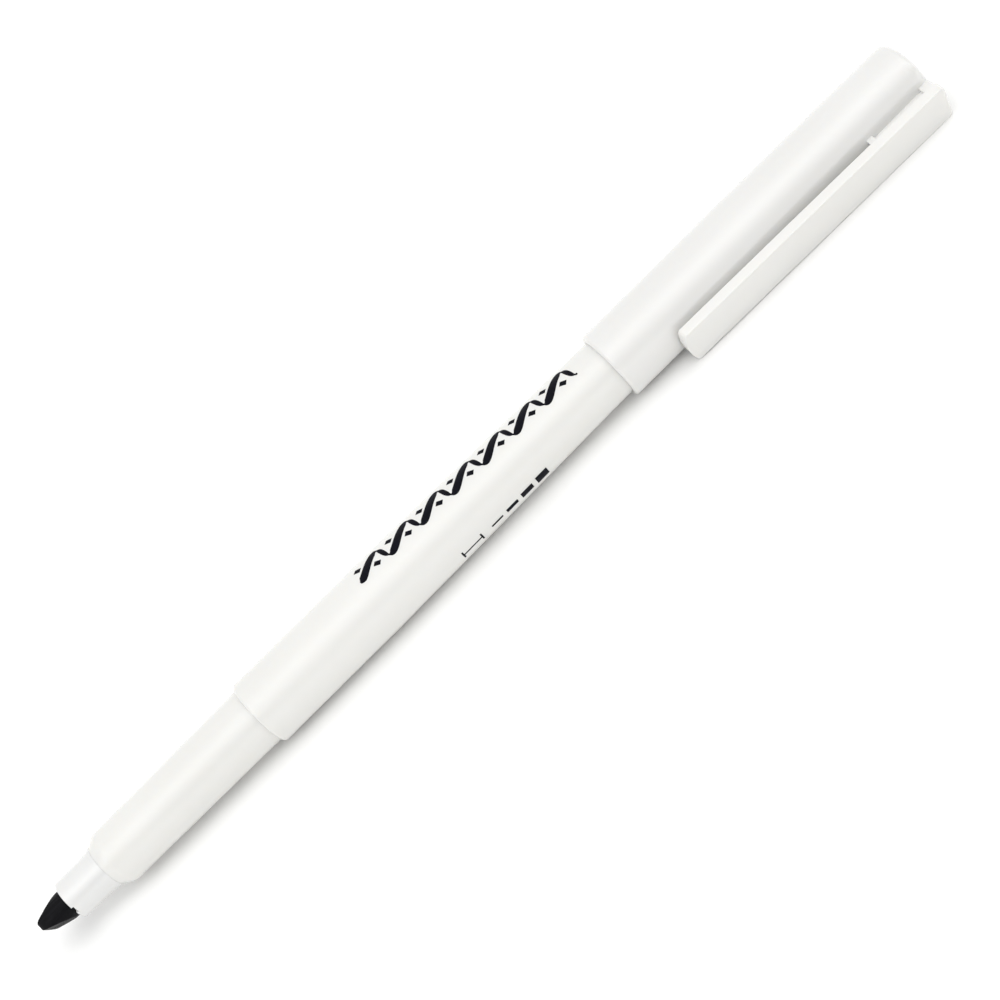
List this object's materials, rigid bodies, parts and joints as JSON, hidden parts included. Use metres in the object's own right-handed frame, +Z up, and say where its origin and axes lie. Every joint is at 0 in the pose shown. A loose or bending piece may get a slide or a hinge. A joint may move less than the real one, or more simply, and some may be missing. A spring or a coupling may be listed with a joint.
{
  "type": "calligraphy marker",
  "caption": "White felt-tip calligraphy marker with a broad chisel nib and its clip cap posted on the tail.",
  "frame": {"origin": "on the surface the pen lies on, under the middle of the pen's box", "axes": "+X along the pen from the nib to the cap's closed end, +Z up, -Y towards the side that the clip lies on"},
  "size_m": [0.1556, 0.0132, 0.0102],
  "materials": {
    "body_plastic": "glossy moulded white",
    "cap_plastic": "glossy moulded white",
    "collar_plastic": "high-gloss moulded white",
    "nib_felt": "ink-soaked pressed fibre",
    "reservoir_fibre": "ink-soaked bonded fibre",
    "film": "thin glossy film",
    "plug_plastic": "satin moulded white",
    "liner_plastic": "satin natural polyethylene"
  },
  "bodies": {
    "pen": {"barrel": "body_plastic", "grip_section": "body_plastic", "nib_holder": "collar_plastic", "nib": "nib_felt", "ink_reservoir": "reservoir_fibre", "reservoir_film": "film", "tail_plug": "plug_plastic"},
    "cap": {"cap_shell": "cap_plastic", "cap_liner": "liner_plastic"},
    "clip": {"clip_arm": "cap_plastic"}
  },
  "joints": [
    {"name": "cap_pull", "type": "slide", "parent": "pen", "child": "cap", "axis": [1, 0, 0], "range_m": [0, 0.03]},
    {"name": "clip_flex", "type": "hinge", "parent": "cap", "child": "clip", "pos_m": [0.0666, -0.0056, 0.00299], "axis": [0, -0.2849, 0.9586], "range_deg": [0, 5], "stiffness_Nm_per_rad": 0.55}
  ]
}
